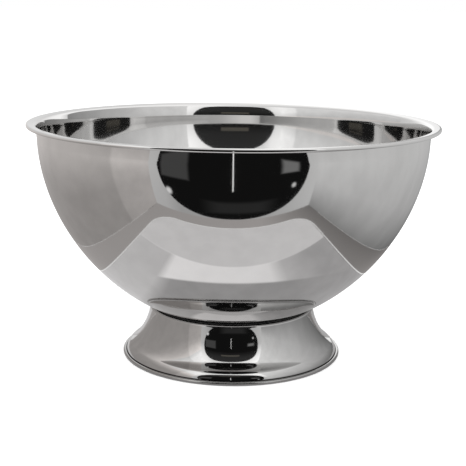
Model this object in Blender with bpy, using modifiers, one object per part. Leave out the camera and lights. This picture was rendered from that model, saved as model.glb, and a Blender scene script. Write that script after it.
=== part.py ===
"""A polished stainless steel punch bowl on a spun pedestal foot, 400 mm across its rolled rim.

Metres, +Z up. The origin is on the axis, in the plane that the foot stands on.
"""

from math import asin, cos, degrees, radians, sin, sqrt, tan

import bmesh
import bpy
from mathutils import Matrix, Vector

# Sheet metal
SHEET = 0.001
SEGMENTS = 48
CLEARANCE = 0.0003

# Bowl
HEIGHT = 0.233
RIM_RADIUS = 0.200
RIM_BEAD_RADIUS = 0.0019
RIM_BEAD_END = -155.0
LIP_TILT = 75.0
LIP_BEND_RADIUS = 0.004
COLLAR_TOP_Z = 0.2292
COLLAR_TOP_TILT = 10.0
COLLAR_BOTTOM_Z = 0.2190
COLLAR_BOTTOM_TILT = 4.0
COLLAR_STEPS = 4
BOWL_RADIUS = 0.189
BOWL_SHOULDER_Z = 0.2224
BOWL_CURVE_DEPTH = 0.1907
BOWL_CURVE_POWER = 1.904
BOWL_CURVE_STEPS = 12
BOWL_FLOOR_Z = 0.0516
FLOOR_BEND = 0.004
FLOOR_BEND_ANGLE = 3.0

# Pedestal foot, with tilts from the vertical
DECK_Z = 0.0494
DECK_SHOULDER_RADIUS = 0.002
DECK_HOLE_RADIUS = 0.0046
FLARE_RADIUS = 0.0605
FLARE_TILT = 36.0
FLARE_STEPS = 5
HOLLOW_RADIUS = 0.033
KINK_TILT = 54.0
TOE_RADIUS = 0.015
TOE_TILT = 8.0
BASE_RADIUS = 0.1095
BASE_BEAD_RADIUS = 0.00195
BASE_FLAT_ANGLE = 16.0
BASE_BEAD_END = 118.0

# Gasket between the bowl and the foot
GASKET_THICKNESS = 0.0006
GASKET_INNER_RADIUS = 0.060
GASKET_OUTER_RADIUS = 0.0785

# Centre fixing, M8
STUD_RADIUS = 0.004
STUD_FLANGE_RADIUS = 0.007
STUD_END_Z = 0.034
STUD_CHAMFER = 0.0006
WASHER_HOLE_RADIUS = 0.0044
WASHER_RADIUS = 0.015
WASHER_THICKNESS = 0.0016
SPRING_INNER_RADIUS = 0.0043
SPRING_OUTER_RADIUS = 0.0072
SPRING_THICKNESS = 0.002
SPRING_SLOT = 0.001
SPRING_SLOT_TILT = 30.0
NUT_FLATS = 0.013
NUT_THICKNESS = 0.0065
NUT_CHAMFER = 0.0006


def clear_scene():
    for obj in list(bpy.data.objects):
        bpy.data.objects.remove(obj, do_unlink=True)


def collection(name):
    made = bpy.data.collections.new(name)
    bpy.context.scene.collection.children.link(made)
    return made


def material(name, colour, metallic, roughness):
    made = bpy.data.materials.new(name)
    made.use_nodes = True
    shader = made.node_tree.nodes["Principled BSDF"]
    shader.inputs["Base Color"].default_value = (*colour, 1.0)
    shader.inputs["Metallic"].default_value = metallic
    shader.inputs["Roughness"].default_value = roughness
    return made


# Outlines are lists of (radius, height) points


def arc(centre, radius, start, end, steps):
    """Points on a circle from one angle to another, in degrees from the outward direction."""
    angles = [radians(start + (end - start) * i / steps) for i in range(steps + 1)]
    return [Vector((centre[0] + radius * cos(a), centre[1] + radius * sin(a))) for a in angles]


def bend(start, corner, end, steps):
    """A rounded corner that leaves start and meets end along its two sides."""
    points = []
    for i in range(steps + 1):
        t = i / steps
        points.append((1 - t) ** 2 * start + 2 * t * (1 - t) * corner + t**2 * end)
    return points


def beside(path, distance):
    """The path moved by a distance to the right of its direction of travel."""
    moved = []
    for i, point in enumerate(path):
        before = path[max(i - 1, 0)]
        after = path[min(i + 1, len(path) - 1)]
        arriving = (point - before).normalized()
        leaving = (after - point).normalized()
        along = (arriving + leaving).normalized()
        mitre = 1.0 / max(arriving.dot(along), leaving.dot(along))
        moved.append(point + distance * mitre * Vector((along.y, -along.x)))
    return moved


def sheet_outline(path):
    """The section of a sheet whose upper or outer face follows the path."""
    return path + beside(path, SHEET)[::-1]


def ring_outline(inner, outer, bottom, top):
    return [Vector(p) for p in ((outer, top), (outer, bottom), (inner, bottom), (inner, top))]


def towards(angle):
    """The unit vector at an angle in degrees from the outward direction."""
    return Vector((cos(radians(angle)), sin(radians(angle))))


def leaning(start, end_z, tilts, steps):
    """A path up from start to a height, whose outward lean runs from one tilt to another."""
    rise = (end_z - start.y) / steps
    points = []
    for i in range(steps):
        tilt = radians(tilts[0] + (tilts[1] - tilts[0]) * (i + 0.5) / steps)
        start = start + Vector((rise * tan(tilt), rise))
        points.append(start)
    return points


def bowl_path():
    """The bowl's inner face, from the middle of its floor up to the rim and round its bead."""
    power = 2.0 / BOWL_CURVE_POWER

    def wall(angle):
        rise = BOWL_CURVE_DEPTH * sin(radians(angle)) ** power
        return Vector((BOWL_RADIUS * cos(radians(angle)) ** power, BOWL_SHOULDER_Z - rise))

    def wall_angle(z):
        drop = (BOWL_SHOULDER_Z - z) / BOWL_CURVE_DEPTH
        return degrees(asin(drop ** (1.0 / power)))

    corner = wall(wall_angle(BOWL_FLOOR_Z))
    wall_start = wall_angle(BOWL_FLOOR_Z) - FLOOR_BEND_ANGLE
    turn = (wall_angle(COLLAR_BOTTOM_Z) - wall_start) / BOWL_CURVE_STEPS
    floor = [Vector((0.0, BOWL_FLOOR_Z))]
    floor += bend(corner - Vector((FLOOR_BEND, 0.0)), corner, wall(wall_start), 2)
    curve = [wall(wall_start + turn * (i + 1)) for i in range(BOWL_CURVE_STEPS)]
    tilts = (COLLAR_BOTTOM_TILT, COLLAR_TOP_TILT)
    collar = leaning(curve[-1], COLLAR_TOP_Z, tilts, COLLAR_STEPS)

    # The collar bends out to the lip, which runs on into the bead
    bend_centre = collar[-1] - LIP_BEND_RADIUS * towards(180.0 - COLLAR_TOP_TILT)
    lip = arc(bend_centre, LIP_BEND_RADIUS, 180.0 - COLLAR_TOP_TILT, 180.0 - LIP_TILT, 4)
    bead_centre = Vector((RIM_RADIUS - RIM_BEAD_RADIUS, HEIGHT - RIM_BEAD_RADIUS))
    bead_top = arc(bead_centre, RIM_BEAD_RADIUS, 180.0 - LIP_TILT, 90.0, 1)
    bead_top += arc(bead_centre, RIM_BEAD_RADIUS, 90.0, 0.0, 3)[1:]
    bead_under = arc(bead_centre, RIM_BEAD_RADIUS, 0.0, RIM_BEAD_END, 5)
    return floor + curve + collar + lip[1:] + bead_top + bead_under[1:]


def foot_path():
    """The foot's outer face, from the hole in its deck out, down the flare and into the base bead."""
    # From the base up: each curve meets the next one along the same slope
    curl_radius = BASE_BEAD_RADIUS - SHEET
    curl_z = curl_radius * cos(radians(BASE_FLAT_ANGLE)) + SHEET
    curl_centre = Vector((BASE_RADIUS - BASE_BEAD_RADIUS, curl_z))
    toe_centre = curl_centre - (curl_radius + TOE_RADIUS) * towards(TOE_TILT)
    hollow_centre = toe_centre + (TOE_RADIUS + HOLLOW_RADIUS) * towards(KINK_TILT)
    flare_centre = hollow_centre + (FLARE_RADIUS - HOLLOW_RADIUS) * towards(FLARE_TILT)

    # The shoulder of the deck meets the flare where their circles touch
    shoulder_z = DECK_Z - DECK_SHOULDER_RADIUS
    reach = FLARE_RADIUS + DECK_SHOULDER_RADIUS
    lift = flare_centre.y - shoulder_z
    shoulder_centre = Vector((flare_centre.x - sqrt(reach**2 - lift**2), shoulder_z))
    neck_tilt = degrees(asin(lift / reach))

    shoulder = arc(shoulder_centre, DECK_SHOULDER_RADIUS, 90.0, neck_tilt, 4)
    flare = arc(flare_centre, FLARE_RADIUS, 180.0 + neck_tilt, 180.0 + FLARE_TILT, FLARE_STEPS)
    hollow = arc(hollow_centre, HOLLOW_RADIUS, 180.0 + FLARE_TILT, 180.0 + KINK_TILT, 4)
    toe = arc(toe_centre, TOE_RADIUS, KINK_TILT, TOE_TILT, 5)

    # The base bead rolls outwards, and a narrow flat is planished on its underside
    flat_start = 270.0 - BASE_FLAT_ANGLE
    flat_end = 270.0 + BASE_FLAT_ANGLE
    curl = arc(curl_centre, curl_radius, 180.0 + TOE_TILT, flat_start, 3)
    curl += arc(curl_centre, curl_radius, flat_end, 360.0, 2)
    curl += arc(curl_centre, curl_radius, 0.0, BASE_BEAD_END, 4)[1:]
    deck = [Vector((DECK_HOLE_RADIUS, DECK_Z))]
    return deck + shoulder + flare[1:] + hollow[1:] + toe[1:] + curl[1:]


def turned(name, outline, closed, finish, home, segments=SEGMENTS):
    """A solid of revolution about Z from an outline that runs down its outer side."""
    mesh = bpy.data.meshes.new(name)
    edges = [(i, i + 1) for i in range(len(outline) - 1)]
    if closed:
        edges.append((len(outline) - 1, 0))
    mesh.from_pydata([(p.x, 0.0, p.y) for p in outline], edges, [])
    mesh.materials.append(finish)
    obj = bpy.data.objects.new(name, mesh)
    home.objects.link(obj)
    screw = obj.modifiers.new("turn", "SCREW")
    screw.steps = segments
    screw.render_steps = segments
    screw.use_merge_vertices = True
    screw.merge_threshold = 0.00001
    screw.use_smooth_shade = True
    return obj


def cut(obj, cutter, operation="DIFFERENCE"):
    boolean = obj.modifiers.new(cutter.name, "BOOLEAN")
    boolean.object = cutter
    boolean.operation = operation
    cutter.hide_render = True
    cutter.display_type = "WIRE"


def primitive(name, home, location=(0.0, 0.0, 0.0)):
    """An empty mesh object, with the bmesh that fills it."""
    obj = bpy.data.objects.new(name, bpy.data.meshes.new(name))
    obj.location = location
    home.objects.link(obj)
    return obj, bmesh.new()


def build_bowl(home, steel):
    turned("bowl_shell", sheet_outline(bowl_path()), False, steel, home)


def build_foot(home, steel):
    turned("pedestal_foot", sheet_outline(foot_path()), True, steel, home)


def build_gasket(home, rubber):
    bottom = DECK_Z + CLEARANCE
    top = bottom + GASKET_THICKNESS
    outline = ring_outline(GASKET_INNER_RADIUS, GASKET_OUTER_RADIUS, bottom, top)
    turned("seat_gasket", outline, True, rubber, home)


def build_stud(home, steel):
    """A weld stud under the middle of the bowl, whose shank goes down through the deck."""
    top = BOWL_FLOOR_Z - SHEET - CLEARANCE
    flange_bottom = DECK_Z + CLEARANCE
    outline = [
        Vector((0.0, top)),
        Vector((STUD_FLANGE_RADIUS, top)),
        Vector((STUD_FLANGE_RADIUS, flange_bottom)),
        Vector((STUD_RADIUS, flange_bottom)),
        Vector((STUD_RADIUS, STUD_END_Z + STUD_CHAMFER)),
        Vector((STUD_RADIUS - STUD_CHAMFER, STUD_END_Z)),
        Vector((0.0, STUD_END_Z)),
    ]
    turned("weld_stud", outline, False, steel, home, 24)


def build_washer(home, steel, top):
    bottom = top - WASHER_THICKNESS
    outline = ring_outline(WASHER_HOLE_RADIUS, WASHER_RADIUS, bottom, top)
    turned("flat_washer", outline, True, steel, home, 32)
    return bottom


def build_spring_washer(home, cutters, steel, top):
    """A split ring, with a slanted slot through its +X side."""
    bottom = top - SPRING_THICKNESS
    outline = ring_outline(SPRING_INNER_RADIUS, SPRING_OUTER_RADIUS, bottom, top)
    ring = turned("spring_washer", outline, True, steel, home, 32)
    middle = ((SPRING_INNER_RADIUS + SPRING_OUTER_RADIUS) / 2, 0.0, (top + bottom) / 2)
    slot, shape = primitive("spring_slot_cutter", cutters, middle)
    bmesh.ops.create_cube(shape, size=1.0)
    bmesh.ops.scale(shape, vec=(0.006, SPRING_SLOT, 0.006), verts=shape.verts)
    tilt = Matrix.Rotation(radians(SPRING_SLOT_TILT), 3, "X")
    bmesh.ops.rotate(shape, matrix=tilt, verts=shape.verts)
    shape.to_mesh(slot.data)
    shape.free()
    cut(ring, slot)
    return bottom


def build_nut(home, cutters, steel, top):
    """A hexagon with chamfered corners and a clearance bore."""
    bottom = top - NUT_THICKNESS
    middle = (0.0, 0.0, (top + bottom) / 2)
    across_corners = NUT_FLATS / cos(radians(30.0))
    nut, shape = primitive("hex_nut", home, middle)
    bmesh.ops.create_cone(
        shape,
        cap_ends=True,
        segments=6,
        radius1=across_corners / 2,
        radius2=across_corners / 2,
        depth=NUT_THICKNESS,
    )
    shape.to_mesh(nut.data)
    shape.free()
    nut.data.materials.append(steel)

    # Two crossing cones, as a ring of the nut's height, trim the corners top and bottom
    half = across_corners / 2
    trim = [
        Vector((0.0, top)),
        Vector((half - 2 * NUT_CHAMFER, top)),
        Vector((half + NUT_CHAMFER, top - 1.5 * NUT_CHAMFER)),
        Vector((half + NUT_CHAMFER, bottom + 1.5 * NUT_CHAMFER)),
        Vector((half - 2 * NUT_CHAMFER, bottom)),
        Vector((0.0, bottom)),
    ]
    corners = turned("nut_corner_cutter", trim, False, steel, cutters, 48)
    cut(nut, corners, "INTERSECT")

    bore, shape = primitive("nut_bore_cutter", cutters, middle)
    bore_radius = STUD_RADIUS + CLEARANCE
    bmesh.ops.create_cone(
        shape,
        cap_ends=True,
        segments=32,
        radius1=bore_radius,
        radius2=bore_radius,
        depth=3 * NUT_THICKNESS,
    )
    shape.to_mesh(bore.data)
    shape.free()
    cut(nut, bore)


def main():
    clear_scene()
    pieces = collection("punch_bowl")
    cutters = collection("cutters")
    polished = material("polished_stainless", (0.72, 0.71, 0.70), 1.0, 0.06)
    bright = material("bright_stainless", (0.60, 0.59, 0.57), 1.0, 0.3)
    rubber = material("black_rubber", (0.012, 0.012, 0.012), 0.0, 0.7)

    build_bowl(pieces, polished)
    build_foot(pieces, polished)
    build_gasket(pieces, rubber)
    build_stud(pieces, bright)
    under_deck = DECK_Z - SHEET - CLEARANCE
    under_washer = build_washer(pieces, bright, under_deck) - CLEARANCE
    under_spring = build_spring_washer(pieces, cutters, bright, under_washer) - CLEARANCE
    build_nut(pieces, cutters, bright, under_spring)


main()
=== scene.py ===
"""The looks of the punch bowl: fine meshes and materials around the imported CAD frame.

Metres, +Z up, in the CAD's own frame. The bowl is a mirror, so most of what shows on it is the
light tent round it: white fabric walls, a white board under the foot, and a dark rounded opening
that the camera looks through.
"""

from math import asin, cos, degrees, pi, radians, sin, sqrt, tan

import bmesh
import bpy
from mathutils import Matrix, Vector


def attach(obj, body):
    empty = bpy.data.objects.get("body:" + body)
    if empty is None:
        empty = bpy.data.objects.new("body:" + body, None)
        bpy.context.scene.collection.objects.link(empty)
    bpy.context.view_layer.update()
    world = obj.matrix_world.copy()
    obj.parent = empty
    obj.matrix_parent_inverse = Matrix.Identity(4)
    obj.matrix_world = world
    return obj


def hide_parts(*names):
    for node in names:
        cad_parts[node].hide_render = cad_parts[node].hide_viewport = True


# Sheet metal, as in the CAD model: tilts are from the vertical
SHEET = 0.001
HEIGHT = 0.233
RIM_RADIUS = 0.200
RIM_BEAD_RADIUS = 0.0019
RIM_BEAD_END = -155.0
LIP_TILT = 75.0
LIP_BEND_RADIUS = 0.004
COLLAR_TOP_Z = 0.2292
COLLAR_TOP_TILT = 10.0
COLLAR_BOTTOM_Z = 0.2190
COLLAR_BOTTOM_TILT = 4.0
BOWL_RADIUS = 0.189
BOWL_SHOULDER_Z = 0.2224
BOWL_CURVE_DEPTH = 0.1907
BOWL_CURVE_POWER = 1.904
BOWL_FLOOR_Z = 0.0516
FLOOR_BEND = 0.004
FLOOR_BEND_ANGLE = 3.0
DECK_Z = 0.0494
DECK_SHOULDER_RADIUS = 0.002
DECK_HOLE_RADIUS = 0.0046
FLARE_RADIUS = 0.0605
FLARE_TILT = 36.0
HOLLOW_RADIUS = 0.033
KINK_TILT = 54.0
TOE_RADIUS = 0.015
TOE_TILT = 8.0
BASE_RADIUS = 0.1095
BASE_BEAD_RADIUS = 0.00195
BASE_FLAT_ANGLE = 16.0
BASE_BEAD_END = 118.0

# How finely the visual meshes are turned
TURN_STEPS = 256
BOWL_STEPS = 90
COLLAR_STEPS = 12
FLOOR_RINGS = 14
FLARE_STEPS = 50
HOLLOW_STEPS = 16
BEAD_STEPS = 14
CORNER_STEPS = 5
FLOOR_BEND_STEPS = 10
GASKET_STEPS = 192
FIXING_STEPS = 96
STUD_STEPS = 64
THREAD_STEPS = 48
SPRING_STEPS = 72
MERGE_DISTANCE = 0.000001
SHARP_ANGLE = 38.0

# Gasket and centre fixing
GASKET_INNER_RADIUS = 0.060
GASKET_OUTER_RADIUS = 0.0785
GASKET_BULGE = 0.0004
STUD_RADIUS = 0.004
STUD_FLANGE_RADIUS = 0.007
STUD_FLANGE_CHAMFER = 0.0002
STUD_END_Z = 0.034
THREAD_PITCH = 0.00125
THREAD_DEPTH = 0.00065
THREAD_ROWS = 10
THREAD_SLOPE = 1.6
THREAD_ROOT = 0.3
WASHER_HOLE_RADIUS = 0.0044
WASHER_RADIUS = 0.015
WASHER_THICKNESS = 0.0016
WASHER_CORNER = 0.00025
SPRING_INNER_RADIUS = 0.0043
SPRING_OUTER_RADIUS = 0.0072
SPRING_THICKNESS = 0.002
SPRING_CORNER = 0.0003
SPRING_SLOT = 0.001
SPRING_SLOT_TILT = 30.0
NUT_FLATS = 0.013
NUT_THICKNESS = 0.0065
NUT_CHAMFER = 0.0006
CLEARANCE = 0.0003

# Dull base bead, and painted shade in the seam behind it: the heights and radii between which each
# fades in or out
BEAD_AND_SEAM_SHADE_TOP = (0.0042, 0.0052)
SEAM_SHADE_RISE = (0.1058, 0.1061)
SEAM_SHADE_FALL = (0.1065, 0.1069)
BEAD_RISE = (0.1063, 0.1067)
# Painted shade: the seam behind the base bead is coloured near black, standing in for the shade in
# its groove
SEAM_SHADE_COLOUR = (0.03, 0.03, 0.03, 1.0)
BEAD_COLOUR = (0.45, 0.445, 0.44, 1.0)
BEAD_DULLNESS = 0.10

# Colours, each as the two ends of a slow change over the surface
MIRROR_COLOURS = ((0.600, 0.594, 0.588, 1.0), (0.622, 0.618, 0.612, 1.0))
BRIGHT_COLOURS = ((0.500, 0.492, 0.480, 1.0), (0.610, 0.602, 0.590, 1.0))
RUBBER_COLOURS = ((0.010, 0.010, 0.010, 1.0), (0.020, 0.020, 0.019, 1.0))
FLOOR_COLOURS = ((0.93, 0.93, 0.93, 1.0), (0.95, 0.95, 0.95, 1.0))
FLOOR_GLOW = 0.42
FLOOR_ROUGHNESS = 0.9

# Surface detail: noise and rings per metre, and roughness or its change from low to high
POLISH_RINGS = 900.0
POLISH_RUN = 3.0
POLISH_ROUGHNESS = 0.022
POLISH_DEPTH = 0.00002
HAZE_SCALE = 14.0
MIRROR_ROUGHNESS = (0.030, 0.052)
RIPPLE_RINGS = 28.0
RIPPLE_RUN = 2.5
RIPPLE_DEPTH = 0.0004
TOOL_RINGS = 5200.0
TOOL_RUN = 2.0
TOOL_ROUGHNESS = 0.12
TOOL_DEPTH = 0.00004
STAIN_SCALE = 420.0
BRIGHT_ROUGHNESS = (0.20, 0.38)
GRAIN_SCALE = 2600.0
GRAIN_DEPTH = 0.00005
BLOOM_SCALE = 60.0
RUBBER_ROUGHNESS = (0.62, 0.82)
PAPER_GRAIN_SCALE = 90.0
MOTTLE_SCALE = 26.0
MOTTLE = 0.02

# Light colours
WHITE = (1.0, 1.0, 1.0)
WARM = (1.0, 0.95, 0.925)
CREAM = (1.0, 0.93, 0.8)
CLOTH_GREY = (1.0, 0.95, 0.93)
PAPER_WHITE = (1.0, 0.985, 0.99)

# Camera
CAMERA_PLACE = (0.0005, -1.0254, 0.3449)
CAMERA_PITCH = 12.304
CAMERA_ROLL = 0.72
CAMERA_LENS = 81.12
SENSOR_WIDTH = 36.0

# Light tent: inside faces of its walls, and the opening in its front
TENT_SIDE = 0.262
TENT_FRONT = -0.350
TENT_BACK = 0.370
TENT_TOP = 0.520
FRONT_FOOT_Z = -0.01
FOLD_STRETCH = (5.0, 2.0, 1.0)
FOLD_DEPTH = 0.05
WALL_SPLIT = 0.250
OPENING_CENTRE_Z = 0.200
OPENING_HALF_WIDTH = 0.222
OPENING_HALF_HEIGHT = 0.200
OPENING_POWER = 2.5

# White board on the tent's floor
BOARD_SIDE = 0.218
BOARD_FRONT = -0.308
BOARD_BACK = 0.340
BOARD_CORNER = 0.060
BOARD_TAPER = 0.3
FOOT_HOLE = 0.100
SHADOW_CENTRE = (0.0, 0.050)
SHADOW_RADIUS = 0.200
BAND_EDGE = -0.190
BOARD_EDGE_WIDTH = 0.003
BOARD_TONE = 0.79
LAYER_GAP = 0.0006
FLOOR_Z = -0.0002
FLOOR_RADIUS = 60.0
OUTLINE_STEPS = 128

# Room beyond the opening, and the softboxes
ROOM_GAP = 0.004
SOFTBOX_SIZE = 1.2
SOFTBOX_TARGET = (0.0, 0.0, 0.1)
WORLD_STRENGTH = 1.0
GLOSSY_BOUNCES = 10


# Outlines are lists of (radius, height) points


def arc(centre, radius, start, end, steps):
    """Points on a circle from one angle to another, in degrees from the outward direction."""
    angles = [radians(start + (end - start) * i / steps) for i in range(steps + 1)]
    return [Vector((centre[0] + radius * cos(a), centre[1] + radius * sin(a))) for a in angles]


def bend(start, corner, end, steps):
    """A rounded corner that leaves start and meets end along its two sides."""
    points = []
    for i in range(steps + 1):
        t = i / steps
        points.append((1 - t) ** 2 * start + 2 * t * (1 - t) * corner + t**2 * end)
    return points


def beside(path, distance):
    """The path moved by a distance to the right of its direction of travel."""
    moved = []
    for i, point in enumerate(path):
        before = path[max(i - 1, 0)]
        after = path[min(i + 1, len(path) - 1)]
        arriving = (point - before).normalized()
        leaving = (after - point).normalized()
        along = (arriving + leaving).normalized()
        mitre = 1.0 / max(arriving.dot(along), leaving.dot(along))
        moved.append(point + distance * mitre * Vector((along.y, -along.x)))
    return moved


def sheet_outline(path):
    """The section of a sheet whose upper or outer face follows the path."""
    return path + beside(path, SHEET)[::-1]


def rounded_ring(inner, outer, bottom, top, corner):
    """A ring's section with rounded corners, running down its outer side."""
    outline = arc((outer - corner, top - corner), corner, 90, 0, CORNER_STEPS)
    outline += arc((outer - corner, bottom + corner), corner, 0, -90, CORNER_STEPS)
    outline += arc((inner + corner, bottom + corner), corner, -90, -180, CORNER_STEPS)
    outline += arc((inner + corner, top - corner), corner, 180, 90, CORNER_STEPS)
    return outline


def towards(angle):
    """The unit vector at an angle in degrees from the outward direction."""
    return Vector((cos(radians(angle)), sin(radians(angle))))


def leaning(start, end_z, tilts, steps):
    """A path up from start to a height, whose outward lean runs from one tilt to another."""
    rise = (end_z - start.y) / steps
    points = []
    for i in range(steps):
        tilt = radians(tilts[0] + (tilts[1] - tilts[0]) * (i + 0.5) / steps)
        start = start + Vector((rise * tan(tilt), rise))
        points.append(start)
    return points


def bowl_path():
    """The bowl's inner face, from the middle of its floor up to the rim and round its bead."""
    power = 2.0 / BOWL_CURVE_POWER

    def wall(angle):
        rise = BOWL_CURVE_DEPTH * sin(radians(angle)) ** power
        return Vector((BOWL_RADIUS * cos(radians(angle)) ** power, BOWL_SHOULDER_Z - rise))

    def wall_angle(z):
        drop = (BOWL_SHOULDER_Z - z) / BOWL_CURVE_DEPTH
        return degrees(asin(drop ** (1.0 / power)))

    corner = wall(wall_angle(BOWL_FLOOR_Z))
    wall_start = wall_angle(BOWL_FLOOR_Z) - FLOOR_BEND_ANGLE
    turn = (wall_angle(COLLAR_BOTTOM_Z) - wall_start) / BOWL_STEPS
    bend_start = corner - Vector((FLOOR_BEND, 0.0))
    floor = [Vector((bend_start.x * i / FLOOR_RINGS, BOWL_FLOOR_Z)) for i in range(FLOOR_RINGS)]
    floor += bend(bend_start, corner, wall(wall_start), FLOOR_BEND_STEPS)
    curve = [wall(wall_start + turn * (i + 1)) for i in range(BOWL_STEPS)]
    tilts = (COLLAR_BOTTOM_TILT, COLLAR_TOP_TILT)
    collar = leaning(curve[-1], COLLAR_TOP_Z, tilts, COLLAR_STEPS)

    # The collar bends out to the lip, which runs on into the bead
    bend_centre = collar[-1] - LIP_BEND_RADIUS * towards(180.0 - COLLAR_TOP_TILT)
    lip_start = 180.0 - COLLAR_TOP_TILT
    lip = arc(bend_centre, LIP_BEND_RADIUS, lip_start, 180.0 - LIP_TILT, BEAD_STEPS)
    bead_centre = Vector((RIM_RADIUS - RIM_BEAD_RADIUS, HEIGHT - RIM_BEAD_RADIUS))
    bead_top = arc(bead_centre, RIM_BEAD_RADIUS, 180.0 - LIP_TILT, 90.0, 3)
    bead_top += arc(bead_centre, RIM_BEAD_RADIUS, 90.0, 0.0, BEAD_STEPS)[1:]
    bead_under = arc(bead_centre, RIM_BEAD_RADIUS, 0.0, RIM_BEAD_END, 2 * BEAD_STEPS)
    return floor + curve + collar + lip[1:] + bead_top + bead_under[1:]


def foot_path():
    """The foot's outer face, from the hole in its deck, down the flare and into the base bead."""
    # From the base up: each curve meets the next one along the same slope
    curl_radius = BASE_BEAD_RADIUS - SHEET
    curl_z = curl_radius * cos(radians(BASE_FLAT_ANGLE)) + SHEET
    curl_centre = Vector((BASE_RADIUS - BASE_BEAD_RADIUS, curl_z))
    toe_centre = curl_centre - (curl_radius + TOE_RADIUS) * towards(TOE_TILT)
    hollow_centre = toe_centre + (TOE_RADIUS + HOLLOW_RADIUS) * towards(KINK_TILT)
    flare_centre = hollow_centre + (FLARE_RADIUS - HOLLOW_RADIUS) * towards(FLARE_TILT)

    # The shoulder of the deck meets the flare where their circles touch
    shoulder_z = DECK_Z - DECK_SHOULDER_RADIUS
    reach = FLARE_RADIUS + DECK_SHOULDER_RADIUS
    lift = flare_centre.y - shoulder_z
    shoulder_centre = Vector((flare_centre.x - sqrt(reach**2 - lift**2), shoulder_z))
    neck_tilt = degrees(asin(lift / reach))

    deck_width = shoulder_centre.x - DECK_HOLE_RADIUS
    deck = [
        Vector((DECK_HOLE_RADIUS + deck_width * i / FLOOR_RINGS, DECK_Z))
        for i in range(FLOOR_RINGS)
    ]
    shoulder = arc(shoulder_centre, DECK_SHOULDER_RADIUS, 90.0, neck_tilt, BEAD_STEPS)
    flare_end = 180.0 + FLARE_TILT
    hollow_end = 180.0 + KINK_TILT
    flare = arc(flare_centre, FLARE_RADIUS, 180.0 + neck_tilt, flare_end, FLARE_STEPS)
    hollow = arc(hollow_centre, HOLLOW_RADIUS, flare_end, hollow_end, HOLLOW_STEPS)
    toe = arc(toe_centre, TOE_RADIUS, KINK_TILT, TOE_TILT, 2 * BEAD_STEPS)

    # The base bead rolls outwards, and a narrow flat is planished on its underside
    flat_start = 270.0 - BASE_FLAT_ANGLE
    flat_end = 270.0 + BASE_FLAT_ANGLE
    curl = arc(curl_centre, curl_radius, 180.0 + TOE_TILT, flat_start, BEAD_STEPS)
    curl += arc(curl_centre, curl_radius, flat_end, 360.0, BEAD_STEPS)
    curl += arc(curl_centre, curl_radius, 0.0, BASE_BEAD_END, 2 * BEAD_STEPS)[1:]
    return deck + shoulder + flare[1:] + hollow[1:] + toe[1:] + curl[1:]


# Meshes


def add_object(name, data):
    """A new object of that mesh, light or camera, in the scene."""
    obj = bpy.data.objects.new(name, data)
    bpy.context.scene.collection.objects.link(obj)
    return obj


def settle(obj):
    """Applies the object's modifiers and keeps its real corners sharp."""
    graph = bpy.context.evaluated_depsgraph_get()
    mesh = bpy.data.meshes.new_from_object(obj.evaluated_get(graph))
    obj.modifiers.clear()
    obj.data = mesh
    mesh.shade_smooth()
    mesh.set_sharp_from_angle(angle=radians(SHARP_ANGLE))
    return obj


def turned(name, outline, closed, segments=TURN_STEPS):
    """A solid of revolution about Z from an outline that runs down its outer side."""
    mesh = bpy.data.meshes.new(name)
    edges = [(i, i + 1) for i in range(len(outline) - 1)]
    if closed:
        edges.append((len(outline) - 1, 0))
    mesh.from_pydata([(p.x, 0.0, p.y) for p in outline], edges, [])
    obj = add_object(name, mesh)
    screw = obj.modifiers.new("turn", "SCREW")
    screw.steps = segments
    screw.render_steps = segments
    screw.use_merge_vertices = True
    screw.merge_threshold = MERGE_DISTANCE
    return settle(obj)


def bridge(shape, rings):
    """Faces between each closed ring of points and the next."""
    count = len(rings[0])
    for first, second in zip(rings, rings[1:]):
        for i in range(count):
            j = (i + 1) % count
            shape.faces.new((first[i], first[j], second[j], second[i]))


def cap(shape, rings):
    """A face at each end of a row of rings."""
    shape.faces.new(rings[0][::-1])
    shape.faces.new(rings[-1])


def mesh_of(name, shape):
    """The finished mesh of a bmesh, which is then freed."""
    mesh = bpy.data.meshes.new(name)
    shape.to_mesh(mesh)
    shape.free()
    return mesh


def rod_outline(radius, bottom, top, chamfer):
    """The outline of a rod with chamfered ends, running down its side."""
    outline = [Vector((0.0, top)), Vector((radius - chamfer, top)), Vector((radius, top - chamfer))]
    outline += [Vector((radius, bottom + chamfer)), Vector((radius - chamfer, bottom))]
    return outline + [Vector((0.0, bottom))]


def thread_radius(z, turn, bottom):
    """The radius of the shank there, on a helical ridge that runs out at the bottom."""
    phase = (z / THREAD_PITCH - turn) % 1.0
    flank = THREAD_SLOPE * (1.0 - abs(2.0 * phase - 1.0)) - THREAD_ROOT
    ridge = min(1.0, max(0.0, flank))
    runout = min(1.0, (z - bottom) / THREAD_PITCH)
    return STUD_RADIUS - THREAD_DEPTH * (1.0 - ridge * runout)


def threaded_shank_mesh(name, bottom, top):
    """A threaded shank from bottom to top, with closed ends."""
    rows = int((top - bottom) / THREAD_PITCH * THREAD_ROWS)
    shape = bmesh.new()
    rings = []
    for row in range(rows + 1):
        z = bottom + (top - bottom) * row / rows
        ring = []
        for i in range(THREAD_STEPS):
            turn = i / THREAD_STEPS
            reach = thread_radius(z, turn, bottom)
            angle = 2 * pi * turn
            ring.append(shape.verts.new((reach * cos(angle), reach * sin(angle), z)))
        rings.append(ring)
    bridge(shape, rings)
    cap(shape, rings)
    return mesh_of(name, shape)


def cutter(name, outline):
    """A turned helper for a Boolean, which never shows."""
    obj = turned(name, outline, False, FIXING_STEPS)
    obj.hide_render = True
    obj.hide_viewport = True
    return obj


def boolean(obj, other, operation):
    """Joins, cuts or trims the object with the other one, once it is settled."""
    modifier = obj.modifiers.new(other.name, "BOOLEAN")
    modifier.object = other
    modifier.operation = operation


def finish_piece(obj, material, node):
    """Gives the piece its material and ties it to the frame in place of its CAD node."""
    obj.data.materials.clear()
    obj.data.materials.append(material)
    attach(obj, "root")
    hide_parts(node)


# Pieces


def make_bowl(steel):
    bowl = turned("mirror_bowl", sheet_outline(bowl_path()), False)
    finish_piece(bowl, steel, "bowl_shell")


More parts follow.
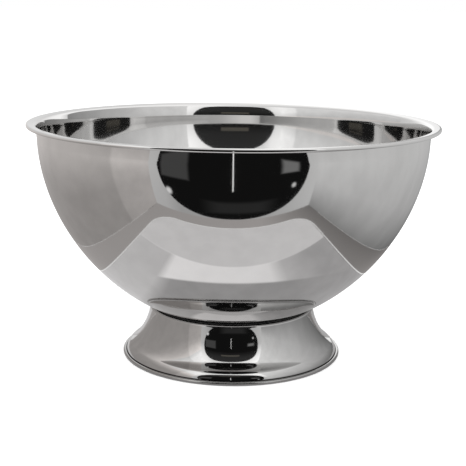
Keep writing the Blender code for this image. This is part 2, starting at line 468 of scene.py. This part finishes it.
def make_foot(steel):
    foot = turned("mirror_foot", sheet_outline(foot_path()), True)
    finish_piece(foot, steel, "pedestal_foot")


def make_gasket(rubber):
    """The black ring between the bowl and the deck, squeezed to a slight bulge."""
    bottom, top = DECK_Z, BOWL_FLOOR_Z - SHEET
    outline = rounded_ring(GASKET_INNER_RADIUS, GASKET_OUTER_RADIUS, bottom, top, GASKET_BULGE)
    gasket = turned("seat_ring", outline, True, GASKET_STEPS)
    finish_piece(gasket, rubber, "seat_gasket")


def make_stud(steel):
    """A flanged weld stud with a rolled thread, joined into one mesh."""
    top = BOWL_FLOOR_Z - SHEET
    bottom = DECK_Z + CLEARANCE
    outline = rod_outline(STUD_FLANGE_RADIUS, bottom, top, STUD_FLANGE_CHAMFER)
    flange = turned("centre_stud", outline, False, STUD_STEPS)
    shank = add_object("stud_shank", threaded_shank_mesh("stud_shank", STUD_END_Z, top))
    boolean(flange, shank, "UNION")
    settle(flange)
    bpy.data.objects.remove(shank)
    finish_piece(flange, steel, "weld_stud")


def make_washer(steel, top):
    """The flat washer. Returns the height of its underside, as make_spring_washer does."""
    bottom = top - WASHER_THICKNESS
    outline = rounded_ring(WASHER_HOLE_RADIUS, WASHER_RADIUS, bottom, top, WASHER_CORNER)
    washer = turned("stud_washer", outline, True, FIXING_STEPS)
    finish_piece(washer, steel, "flat_washer")
    return bottom


def make_spring_washer(steel, top):
    """A split ring of rounded square wire, with slanted ends."""
    bottom = top - SPRING_THICKNESS
    middle_radius = (SPRING_INNER_RADIUS + SPRING_OUTER_RADIUS) / 2
    middle_z = (top + bottom) / 2
    section = rounded_ring(SPRING_INNER_RADIUS, SPRING_OUTER_RADIUS, bottom, top, SPRING_CORNER)
    gap = SPRING_SLOT / middle_radius
    lean = sin(radians(SPRING_SLOT_TILT)) / middle_radius
    shape = bmesh.new()
    rings = []
    for i in range(SPRING_STEPS + 1):
        base = gap / 2 + (2 * pi - gap) * i / SPRING_STEPS
        ring = []
        for p in section:
            angle = base - (p.y - middle_z) * lean
            ring.append(shape.verts.new((p.x * cos(angle), p.x * sin(angle), p.y)))
        rings.append(ring)
    bridge(shape, rings)
    cap(shape, rings)
    bmesh.ops.recalc_face_normals(shape, faces=shape.faces)
    spring = settle(add_object("stud_spring_washer", mesh_of("stud_spring_washer", shape)))
    finish_piece(spring, steel, "spring_washer")
    return bottom


def hexagon(name, half, bottom, top):
    """A six-sided block between two heights. Its corners stand at the radius half."""
    shape = bmesh.new()
    bmesh.ops.create_cone(
        shape, cap_ends=True, segments=6, radius1=half, radius2=half, depth=top - bottom
    )
    mesh = mesh_of(name, shape)
    mesh.transform(Matrix.Translation((0.0, 0.0, (top + bottom) / 2)))
    return add_object(name, mesh)


def corner_trim(half, bottom, top):
    """A turned lens that takes the corners off a nut of that half width."""
    side = 1.5 * NUT_CHAMFER
    inner, outer = half - 2 * NUT_CHAMFER, half + NUT_CHAMFER
    points = [(0.0, top), (inner, top), (outer, top - side)]
    points += [(outer, bottom + side), (inner, bottom), (0.0, bottom)]
    return [Vector(point) for point in points]


def flared_bore(radius, bottom, top):
    """A turned bore through a nut, countersunk at both ends."""
    margin = NUT_THICKNESS
    wide = radius + NUT_CHAMFER + margin
    points = [(0.0, top + margin), (wide, top + margin), (radius, top - NUT_CHAMFER)]
    points += [(radius, bottom + NUT_CHAMFER), (wide, bottom - margin), (0.0, bottom - margin)]
    return [Vector(point) for point in points]


def make_nut(steel, top):
    """A hexagon nut with chamfered corners and a countersunk bore."""
    bottom = top - NUT_THICKNESS
    half = NUT_FLATS / cos(radians(30.0)) / 2
    nut = hexagon("stud_nut", half, bottom, top)
    trim = cutter("nut_corner_cutter", corner_trim(half, bottom, top))
    bore = cutter("nut_bore_cutter", flared_bore(STUD_RADIUS + CLEARANCE, bottom, top))
    boolean(nut, trim, "INTERSECT")
    boolean(nut, bore, "DIFFERENCE")
    settle(nut)
    for helper in (trim, bore):
        bpy.data.objects.remove(helper)
    finish_piece(nut, steel, "hex_nut")


def make_pieces():
    """All seven pieces, the fixings stacked downwards from the deck."""
    mirror_bowl = mirror_steel("mirror_steel_bowl")
    # The foot's steel has painted shade in the seam behind its base bead
    mirror_foot = mirror_steel("mirror_steel_foot", seam_shaded=True)
    bright = bright_steel("bright_steel")
    make_bowl(mirror_bowl)
    make_foot(mirror_foot)
    make_gasket(black_rubber("black_rubber"))
    make_stud(bright)
    under_deck = DECK_Z - SHEET - CLEARANCE
    under_washer = make_washer(bright, under_deck) - CLEARANCE
    under_spring = make_spring_washer(bright, under_washer) - CLEARANCE
    make_nut(bright, under_spring)


# Materials


class Nodes:
    """A material's node tree, with short calls to add nodes and join them."""

    def __init__(self, name):
        self.material = bpy.data.materials.new(name)
        self.material.use_nodes = True
        self.tree = self.material.node_tree
        self.tree.nodes.clear()

    def add(self, kind, settings=(), **values):
        """A node with properties from settings, and sockets from values: numbers, colours or links.

        A value named i0, i1 and so on goes to the socket of that number, any other by its name.
        """
        node = self.tree.nodes.new(kind)
        for name, value in dict(settings).items():
            setattr(node, name, value)
        for name, value in values.items():
            if name[0] == "i" and name[1:].isdigit():
                socket = node.inputs[int(name[1:])]
            else:
                socket = node.inputs[name.replace("_", " ")]
            if isinstance(value, bpy.types.NodeSocket):
                self.tree.links.new(value, socket)
            else:
                socket.default_value = value
        return node

    def math(self, operation, first, second=0.0, third=0.0):
        settings = {"operation": operation}
        return self.add("ShaderNodeMath", settings, i0=first, i1=second, i2=third).outputs[0]

    def length(self, x, y):
        squares = [self.math("POWER", value, 2.0) for value in (x, y)]
        return self.math("SQRT", self.math("ADD", *squares))

    def smooth(self, value, low, high, at_low=0.0, at_high=1.0):
        """The value eased from at_low to at_high between low and high."""
        settings = {"interpolation_type": "SMOOTHSTEP"}
        node = self.add("ShaderNodeMapRange", settings, Value=value, From_Min=low, From_Max=high)
        node.inputs["To Min"].default_value = at_low
        node.inputs["To Max"].default_value = at_high
        return node.outputs[0]

    def blend(self, factor, first, second):
        """One colour turning into another as the factor goes from 0 to 1."""
        settings = {"data_type": "RGBA"}
        return self.add("ShaderNodeMix", settings, Factor=factor, i6=first, i7=second).outputs[2]

    def place(self):
        return self.add("ShaderNodeTexCoord").outputs["Object"]

    def axes(self):
        """The place's x, y and z."""
        return self.add("ShaderNodeSeparateXYZ", Vector=self.place()).outputs

    def noise(self, scale, detail=2.0, roughness=0.5, vector=None):
        node = self.add("ShaderNodeTexNoise", Scale=scale, Detail=detail, Roughness=roughness)
        self.tree.links.new(vector or self.place(), node.inputs["Vector"])
        return node.outputs["Fac"]

    def surface(self, **values):
        return self.add("ShaderNodeBsdfPrincipled", **values)

    def output(self, shader):
        self.add("ShaderNodeOutputMaterial", Surface=shader)
        return self.material


def turning_marks(nodes, fineness, run):
    """A pattern of fine rings round the Z axis: quick along the section and slow around it."""
    x, y, z = nodes.axes()
    across = nodes.length(x, y)
    safe = nodes.math("MAXIMUM", across, 0.001)
    around_x = nodes.math("MULTIPLY", nodes.math("DIVIDE", x, safe), run)
    around_y = nodes.math("MULTIPLY", nodes.math("DIVIDE", y, safe), run)
    rise = nodes.math("MULTIPLY", z, fineness)
    reach = nodes.math("MULTIPLY", across, fineness)
    joined = nodes.add("ShaderNodeCombineXYZ", X=around_x, Y=around_y, Z=rise).outputs[0]
    noise = nodes.add("ShaderNodeTexNoise", {"noise_dimensions": "4D"}, Vector=joined, W=reach)
    noise.inputs["Scale"].default_value = 1.0
    noise.inputs["Detail"].default_value = 3.0
    return noise.outputs["Fac"]


def bead_and_seam_shade(nodes, tone, rough):
    """The foot's base bead, which the buffing wheel misses, and painted shade in the seam behind
    it.
    """
    x, y, z = nodes.axes()
    radius = nodes.length(x, y)
    low = nodes.smooth(z, *BEAD_AND_SEAM_SHADE_TOP, 1.0, 0.0)
    bead = nodes.math("MULTIPLY", low, nodes.smooth(radius, *BEAD_RISE))
    inside = nodes.smooth(radius, *SEAM_SHADE_RISE)
    outside = nodes.smooth(radius, *SEAM_SHADE_FALL, 1.0, 0.0)
    # Painted shade: the seam is darkened where the groove behind the bead lies in shade
    seam_shade = nodes.math("MULTIPLY", low, nodes.math("MULTIPLY", inside, outside))
    tone = nodes.blend(bead, tone, BEAD_COLOUR)
    tone = nodes.blend(seam_shade, tone, SEAM_SHADE_COLOUR)
    rough = nodes.math("ADD", rough, nodes.math("MULTIPLY", bead, BEAD_DULLNESS))
    return tone, rough


def mirror_steel(name, seam_shaded=False):
    """Buffed stainless steel: a near mirror with faint polishing rings, haze and slow ripples."""
    nodes = Nodes(name)
    rings = turning_marks(nodes, POLISH_RINGS, POLISH_RUN)
    haze = nodes.noise(HAZE_SCALE, 3.0, 0.6)
    ripple = turning_marks(nodes, RIPPLE_RINGS, RIPPLE_RUN)
    rough_base = nodes.smooth(haze, 0.35, 0.75, *MIRROR_ROUGHNESS)
    rough = nodes.math("ADD", rough_base, nodes.math("MULTIPLY", rings, POLISH_ROUGHNESS))
    tone = nodes.blend(nodes.smooth(haze, 0.3, 0.7), *MIRROR_COLOURS)
    # On the foot: the duller base bead, and painted shade in the seam behind it
    if seam_shaded:
        tone, rough = bead_and_seam_shade(nodes, tone, rough)
    slow = nodes.add("ShaderNodeBump", Strength=0.05, Distance=RIPPLE_DEPTH, Height=ripple)
    fine = nodes.add("ShaderNodeBump", Strength=0.02, Distance=POLISH_DEPTH, Height=rings)
    nodes.tree.links.new(slow.outputs[0], fine.inputs["Normal"])
    normal = fine.outputs[0]
    shader = nodes.surface(Base_Color=tone, Metallic=1.0, Roughness=rough, Normal=normal)
    return nodes.output(shader.outputs[0])


def bright_steel(name):
    """Machined stainless steel for the fixings: satin, with tool marks and duller stained patches.
    """
    nodes = Nodes(name)
    marks = turning_marks(nodes, TOOL_RINGS, TOOL_RUN)
    stain = nodes.noise(STAIN_SCALE, 4.0, 0.65)
    rough_base = nodes.smooth(stain, 0.3, 0.8, *BRIGHT_ROUGHNESS)
    rough = nodes.math("ADD", rough_base, nodes.math("MULTIPLY", marks, TOOL_ROUGHNESS))
    tone = nodes.blend(nodes.smooth(stain, 0.35, 0.75), *BRIGHT_COLOURS)
    bump = nodes.add("ShaderNodeBump", Strength=0.25, Distance=TOOL_DEPTH, Height=marks)
    normal = bump.outputs[0]
    shader = nodes.surface(Base_Color=tone, Metallic=1.0, Roughness=rough, Normal=normal)
    return nodes.output(shader.outputs[0])


def black_rubber(name):
    """Matt black sheet rubber with a fine moulded grain."""
    nodes = Nodes(name)
    grain = nodes.noise(GRAIN_SCALE, 4.0, 0.6)
    bloom = nodes.noise(BLOOM_SCALE, 3.0, 0.55)
    tone = nodes.blend(nodes.smooth(bloom, 0.35, 0.75), *RUBBER_COLOURS)
    rough = nodes.smooth(grain, 0.3, 0.7, *RUBBER_ROUGHNESS)
    bump = nodes.add("ShaderNodeBump", Strength=0.5, Distance=GRAIN_DEPTH, Height=grain)
    shader = nodes.surface(Base_Color=tone, Roughness=rough, Normal=bump.outputs[0])
    return nodes.output(shader.outputs[0])


# Stage: the tent shows only in reflections, and the pale floor shows to the camera too


def reflected_only(obj):
    """Shows the object in the steel and nowhere else."""
    obj.visible_camera = False
    obj.visible_diffuse = False
    obj.visible_transmission = False
    obj.visible_volume_scatter = False
    obj.visible_shadow = False
    return obj


def tone_along(nodes, value, stops):
    """A brightness that runs through (place, brightness) stops, with place from -1 to 1."""
    scaled = nodes.math("MULTIPLY_ADD", value, 0.5, 0.5)
    ramp = nodes.add("ShaderNodeValToRGB", Fac=scaled)
    points = ramp.color_ramp.elements
    while len(points) < len(stops):
        points.new(0.5)
    for point, (place, tone) in zip(points, stops):
        point.position = 0.5 + place / 2
        point.color = (tone, tone, tone, 1.0)
    return ramp.outputs[0]


def cloth_folds(nodes, depth):
    """Slow streaks of light and shade in hanging cloth, by which a brightness is multiplied."""
    stretch = nodes.add("ShaderNodeMapping", Vector=nodes.place(), Scale=FOLD_STRETCH).outputs[0]
    fold = nodes.noise(1.0, 3.0, 0.55, stretch)
    return nodes.smooth(fold, 0.3, 0.7, 1.0 - depth, 1.0 + depth)


def edge_cover(nodes, x, y, softness, rounded):
    """1 over the middle of a panel and 0 at its edge, which may be square or rounded."""
    if rounded:
        edge = nodes.length(x, y)
    else:
        edge = nodes.math("MAXIMUM", *[nodes.math("ABSOLUTE", value) for value in (x, y)])
    return nodes.smooth(edge, 1.0 - softness, 1.0, 1.0, 0.0)


def glow(name, colour, strength, grade_x=(), grade_y=(), folds=0.0, softness=0.0, rounded=False):
    """A light of that colour, graded across and up its panel, with cloth folds and soft edges."""
    nodes = Nodes(name)
    x, y = nodes.axes()[:2]
    for value, stops in ((x, grade_x), (y, grade_y)):
        if stops:
            strength = nodes.math("MULTIPLY", tone_along(nodes, value, stops), strength)
    if folds:
        strength = nodes.math("MULTIPLY", strength, cloth_folds(nodes, folds))
    power = nodes.add("ShaderNodeEmission", Color=(*colour, 1.0), Strength=strength).outputs[0]
    if not softness:
        return nodes.output(power)
    cover = edge_cover(nodes, x, y, softness, rounded)
    clear = nodes.add("ShaderNodeBsdfTransparent").outputs[0]
    mixed = nodes.add("ShaderNodeMixShader", i0=cover, i1=clear, i2=power)
    return nodes.output(mixed.outputs[0])


def panel(name, centre, across, up, colour, strength, **look):
    """A flat light whose half width and half height are the vectors across and up."""
    across, up = Vector(across), Vector(up)
    mesh = bpy.data.meshes.new(name)
    mesh.from_pydata([(-1, -1, 0), (1, -1, 0), (1, 1, 0), (-1, 1, 0)], [], [(0, 1, 2, 3)])
    mesh.materials.append(glow(name, colour, strength, **look))
    obj = add_object(name, mesh)
    out = across.cross(up).normalized()
    columns = Matrix((across, up, out)).transposed()
    obj.matrix_world = Matrix.Translation(centre) @ columns.to_4x4()
    return reflected_only(obj)


def opening_outline(count):
    """The rounded opening in the tent's front, a superellipse, as (x, z) points."""
    power = 2.0 / OPENING_POWER
    points = []
    for i in range(count):
        angle = 2 * pi * i / count
        sides = (cos(angle), sin(angle))
        x, z = (abs(side) ** power * (1 if side > 0 else -1) for side in sides)
        height = OPENING_CENTRE_Z + OPENING_HALF_HEIGHT * z
        points.append(Vector((OPENING_HALF_WIDTH * x, height)))
    return points


def board_outline(count, grow=0.0):
    """The board's rounded and slightly tapered rectangle, as (x, y) points."""
    middle = (BOARD_FRONT + BOARD_BACK) / 2
    half = Vector((BOARD_SIDE, (BOARD_BACK - BOARD_FRONT) / 2))
    points = []
    for corner, (sx, sy) in enumerate(((1, 1), (-1, 1), (-1, -1), (1, -1))):
        centre = Vector((sx * (half.x - BOARD_CORNER), middle + sy * (half.y - BOARD_CORNER)))
        start = 90 * corner
        points += arc(centre, BOARD_CORNER + grow, start, start + 90, count // 4)
    for point in points:
        point.x *= 1.0 - BOARD_TAPER * (point.y - BOARD_FRONT)
    return points


def outwards(points, centre, limits):
    """Each point moved away from the centre to the rectangle (half width, low, high) round it."""
    half, low, high = limits
    moved = []
    for point in points:
        away = point - centre
        scale = []
        if abs(away.x) > 1e-9:
            scale.append((half if away.x > 0 else -half) / away.x)
        if abs(away.y) > 1e-9:
            scale.append(((high if away.y > 0 else low) - centre.y) / away.y)
        moved.append(centre + away * min(scale))
    return moved


def band(name, inner, outer, lift, material):
    """A flat band between two closed outlines, put in space by lift."""
    shape = bmesh.new()
    rings = [[shape.verts.new(lift(p)) for p in outline] for outline in (inner, outer)]
    bridge(shape, rings)
    mesh = mesh_of(name, shape)
    mesh.materials.append(material)
    return add_object(name, mesh)


def pale_floor():
    """White paper: mostly diffuse, so that the soft shadows fall on it, and clear from below."""
    nodes = Nodes("pale_floor")
    tone = nodes.blend(nodes.noise(PAPER_GRAIN_SCALE, 3.0), *FLOOR_COLOURS)
    shader = nodes.surface(Base_Color=tone, Roughness=FLOOR_ROUGHNESS, Specular_IOR_Level=0.0)
    shader.inputs["Emission Color"].default_value = (*WHITE, 1.0)
    shader.inputs["Emission Strength"].default_value = FLOOR_GLOW
    clear = nodes.add("ShaderNodeBsdfTransparent").outputs[0]
    behind = nodes.add("ShaderNodeNewGeometry").outputs["Backfacing"]
    mixed = nodes.add("ShaderNodeMixShader", i0=behind, i1=shader.outputs[0], i2=clear)
    return nodes.output(mixed.outputs[0])


def disc(nodes, x, y, centre, radius, softness):
    """1 inside a circle and 0 outside it, with a soft edge."""
    parts = [nodes.math("SUBTRACT", value, middle) for value, middle in zip((x, y), centre)]
    distance = nodes.length(*[nodes.math("DIVIDE", part, radius) for part in parts])
    return nodes.smooth(distance, 1.0 - softness, 1.0 + softness, 1.0, 0.0)


def between(nodes, value, low, high, softness):
    """1 between two places and 0 outside them, with soft ends."""
    rise = nodes.smooth(value, low - softness, low + softness)
    fall = nodes.smooth(value, high - softness, high + softness, 1.0, 0.0)
    return nodes.math("MULTIPLY", rise, fall)


def board_paper():
    """The board in the steel: a plain front, then a lit band and the bowl's own soft shadow."""
    nodes = Nodes("board_paper")
    x, y = nodes.axes()[:2]
    across = nodes.math("DIVIDE", x, BOARD_SIDE)
    lit_stops = ((-0.56, 0.70), (-0.49, 1.06), (0.3, 0.98), (0.42, 0.64), (0.7, 0.48))
    shade_stops = ((-0.56, 0.70), (-0.44, 0.42), (0.44, 0.41), (0.56, 0.46))
    lit = tone_along(nodes, across, lit_stops)
    shade = tone_along(nodes, across, shade_stops)
    shadow = disc(nodes, x, y, SHADOW_CENTRE, SHADOW_RADIUS, 0.015)
    near = nodes.add("ShaderNodeMix", Factor=shadow, A=lit, B=shade).outputs[0]
    front = nodes.smooth(y, BAND_EDGE - 0.002, BAND_EDGE + 0.002, 1.0, 0.0)
    tone = nodes.add("ShaderNodeMix", Factor=front, A=near, B=BOARD_TONE).outputs[0]

    # A bright line where the band starts, and the paper's faint mottle
    line = between(nodes, y, BAND_EDGE - 0.001, BAND_EDGE + 0.001, 0.0015)
    tone = nodes.math("ADD", tone, nodes.math("MULTIPLY", line, 0.12))
    mottle = nodes.smooth(nodes.noise(MOTTLE_SCALE, 3.0), 0.3, 0.7, -MOTTLE, MOTTLE)
    tone = nodes.math("ADD", tone, mottle)
    power = nodes.add("ShaderNodeEmission", Color=(*PAPER_WHITE, 1.0), Strength=tone)
    return nodes.output(power.outputs[0])


def front_cloth():
    """The tent's front wall: pale round the opening, and brighter at its sides and higher up."""
    nodes = Nodes("front_cloth")
    x, _, z = nodes.axes()
    across = nodes.math("DIVIDE", x, TENT_SIDE)
    height = nodes.math("SUBTRACT", nodes.math("DIVIDE", z, TENT_TOP / 2), 1.0)
    side_stops = ((-1, 1.0), (-0.8, 0.95), (-0.6, 0.75), (0.6, 0.92), (1, 1.08))
    rise_stops = ((-1, 0.62), (-0.35, 0.70), (-0.1, 1.05), (0.3, 1.35), (1, 1.55))
    side = tone_along(nodes, across, side_stops)
    rise = tone_along(nodes, height, rise_stops)
    power = nodes.add("ShaderNodeEmission", Strength=nodes.math("MULTIPLY", side, rise))
    return nodes.output(power.outputs[0])


def circle(radius, count):
    """A circle's points, starting on the X axis."""
    angles = [2 * pi * i / count for i in range(count)]
    return [Vector((radius * cos(a), radius * sin(a))) for a in angles]


def level(z):
    """A lift that lays an outline flat at that height."""
    return lambda p: (p.x, p.y, z)


def make_floor():
    """The floor, and the white board under the foot, both with a hole where the foot stands."""
    inner = circle(FOOT_HOLE, OUTLINE_STEPS)
    horizon = circle(FLOOR_RADIUS, OUTLINE_STEPS)
    floor = band("floor", inner, horizon, level(FLOOR_Z), pale_floor())
    floor.visible_glossy = False
    outer = board_outline(OUTLINE_STEPS)
    board = band("board", inner, outer, level(0.0), board_paper())
    reflected_only(board)
    for part in (floor, board):
        part.data.flip_normals()


def make_surround():
    """The grey cloth under and round the board, and the board's bright edge."""
    outline = board_outline(OUTLINE_STEPS // 2)
    edge = board_outline(OUTLINE_STEPS // 2, BOARD_EDGE_WIDTH)
    line = glow("board_edge", WHITE, 0.95)
    reflected_only(band("board_edge", outline, edge, level(LAYER_GAP), line))
    middle = (0.0, (TENT_FRONT + TENT_BACK) / 2, -LAYER_GAP)
    across = (TENT_SIDE, 0, 0)
    depth = (0, (TENT_BACK - TENT_FRONT) / 2, 0)
    grade = ((-1, 0.44), (0.3, 0.48), (1, 0.22))
    panel("floor_cloth", middle, across, depth, CLOTH_GREY, 1.0, grade_x=grade)


def side_wall(name, side, heights, colour, strength, grade_x, grade_y):
    """A side wall between two heights. The stops run from front to back, and from its foot up."""
    bottom, top = heights
    middle = (side * TENT_SIDE, (TENT_BACK + TENT_FRONT) / 2, (top + bottom) / 2)
    depth = (0, (TENT_BACK - TENT_FRONT) / 2, 0)
    up = (0, 0, (top - bottom) / 2)
    look = {"grade_x": grade_x, "grade_y": grade_y, "folds": FOLD_DEPTH}
    panel(name, middle, depth, up, colour, strength, **look)


def make_side_walls():
    """The left wall, warm and darker low down, and the right wall, darker towards the back."""
    low, high, whole = (0.0, WALL_SPLIT), (WALL_SPLIT, TENT_TOP), (0.0, TENT_TOP)
    left = ((-1, 1.3), (-0.62, 1.15), (-0.6, 0.95), (1, 0.9))
    left_low_rise = ((-1, 0.82), (-0.1, 0.88), (0.2, 1.04), (0.5, 1.36), (1, 1.90))
    left_high_rise = ((-1, 0.75), (-0.6, 0.95), (0, 1.0), (1, 1.0))
    right = ((-1, 1.08), (-0.2, 0.98), (0.4, 0.62), (1, 0.40))
    right_rise = ((-1, 0.36), (-0.6, 0.75), (0, 1.0), (1, 1.15))
    side_wall("tent_left_low", -1, low, WARM, 0.50, left, left_low_rise)
    side_wall("tent_left_high", -1, high, WHITE, 1.10, left, left_high_rise)
    side_wall("tent_right", 1, whole, WHITE, 0.86, right, right_rise)


def make_tent():
    """The tent round the bowl, and the room that shows through the opening in its front."""
    make_side_walls()
    depth = (0, (TENT_BACK - TENT_FRONT) / 2, 0)
    middle_y = (TENT_BACK + TENT_FRONT) / 2
    rise = TENT_TOP / 2
    across = (TENT_SIDE, 0, 0)
    grade = ((-1, 0.85), (-0.4, 0.95), (0.25, 1.4), (0.6, 1.45), (1, 1.0))
    panel("tent_back", (0, TENT_BACK, rise), across, (0, 0, rise), WHITE, 1.0, grade_x=grade)
    panel("tent_top", (0, middle_y, TENT_TOP), across, depth, WHITE, 1.0, grade_x=grade)
    make_tent_front()
    make_room_beyond()


def make_tent_front():
    """The tent's front wall with its rounded opening."""
    outline = opening_outline(OUTLINE_STEPS)
    centre = Vector((0.0, OPENING_CENTRE_Z))
    far = outwards(outline, centre, (TENT_SIDE, FRONT_FOOT_Z, TENT_TOP))
    front = band("tent_front", outline, far, lambda p: (p.x, TENT_FRONT, p.y), front_cloth())
    reflected_only(front)


def in_the_room(name, centre, half, colour, strength, **look):
    """A panel just behind the opening, by its centre and half size in x and z."""
    place = (centre[0], TENT_FRONT - ROOM_GAP, centre[1])
    panel(name, place, (half[0], 0, 0), (0, 0, half[1]), colour, strength, **look)


def make_room_beyond():
    """What shows through the opening: a dark room, a lighter screen and a few small lights."""
    behind = (0, TENT_FRONT - 2 * ROOM_GAP, 0.2)
    gloom = ((-1, 0.008), (0.1, 0.008), (0.35, 0.035), (1, 0.05))
    panel("dark_room", behind, (0.4, 0, 0), (0, 0, 0.3), WHITE, 1.0, grade_y=gloom)
    in_the_room("grey_screen", (-0.1625, 0.165), (0.0525, 0.04), WHITE, 0.075, softness=0.25)
    in_the_room("low_haze", (0.02, 0.045), (0.12, 0.03), WHITE, 0.030, softness=0.6)
    in_the_room("pale_box", (0.155, 0.165), (0.036, 0.016), WHITE, 0.22, softness=0.5)
    in_the_room("bright_gap", (0.0, 0.150), (0.0012, 0.045), WHITE, 1.4)
    in_the_room("dim_shelf", (-0.005, 0.275), (0.070, 0.010), CREAM, 0.11)
    lamp = {"softness": 0.7, "rounded": True}
    in_the_room("left_lamp", (-0.190, 0.078), (0.017, 0.019), WHITE, 0.9, **lamp)
    in_the_room("right_lamp", (0.172, 0.108), (0.011, 0.012), WHITE, 0.7, **lamp)


def make_softbox(name, place, power):
    """A large square light that faces the bowl and doesn't show in the steel."""
    light = bpy.data.lights.new(name, "AREA")
    light.shape = "SQUARE"
    light.size = SOFTBOX_SIZE
    light.energy = power
    obj = add_object(name, light)
    obj.location = place
    obj.rotation_mode = "QUATERNION"
    facing = Vector(SOFTBOX_TARGET) - Vector(place)
    obj.rotation_quaternion = facing.to_track_quat("-Z", "Y")
    obj.visible_glossy = False


def make_lights():
    """Two large softboxes that light the floor and the dull pieces."""
    make_softbox("key_softbox", (-0.9, -0.9, 1.5), 9.0)
    make_softbox("fill_softbox", (1.1, -0.5, 1.3), 6.0)


def make_world():
    """Even white light from all round."""
    world = bpy.data.worlds.new("soft_white")
    bpy.context.scene.world = world
    world.use_nodes = True
    background = world.node_tree.nodes["Background"]
    background.inputs["Color"].default_value = (*WHITE, 1.0)
    background.inputs["Strength"].default_value = WORLD_STRENGTH


def make_camera():
    """The photo's camera: its place, its look downwards and its slight roll."""
    data = bpy.data.cameras.new("camera")
    data.lens = CAMERA_LENS
    data.sensor_width = SENSOR_WIDTH
    data.clip_end = 2 * FLOOR_RADIUS
    camera = add_object("camera", data)
    tilt = Matrix.Rotation(radians(90.0 - CAMERA_PITCH), 4, "X")
    roll = Matrix.Rotation(radians(CAMERA_ROLL), 4, "Z")
    camera.matrix_world = Matrix.Translation(CAMERA_PLACE) @ tilt @ roll
    bpy.context.scene.camera = camera


def make_stage():
    """The stage, the lights and the camera, and how the render shows them."""
    make_floor()
    make_surround()
    make_tent()
    make_lights()
    make_world()
    make_camera()
    bpy.context.scene.view_settings.view_transform = "Standard"
    bpy.context.scene.cycles.glossy_bounces = GLOSSY_BOUNCES


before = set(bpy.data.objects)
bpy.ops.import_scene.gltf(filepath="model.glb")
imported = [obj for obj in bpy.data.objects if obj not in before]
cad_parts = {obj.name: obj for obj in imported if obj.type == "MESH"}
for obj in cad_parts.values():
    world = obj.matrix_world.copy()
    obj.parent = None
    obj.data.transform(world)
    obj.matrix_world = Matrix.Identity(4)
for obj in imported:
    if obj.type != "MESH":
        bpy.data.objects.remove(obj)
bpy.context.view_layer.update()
make_pieces()
make_stage()
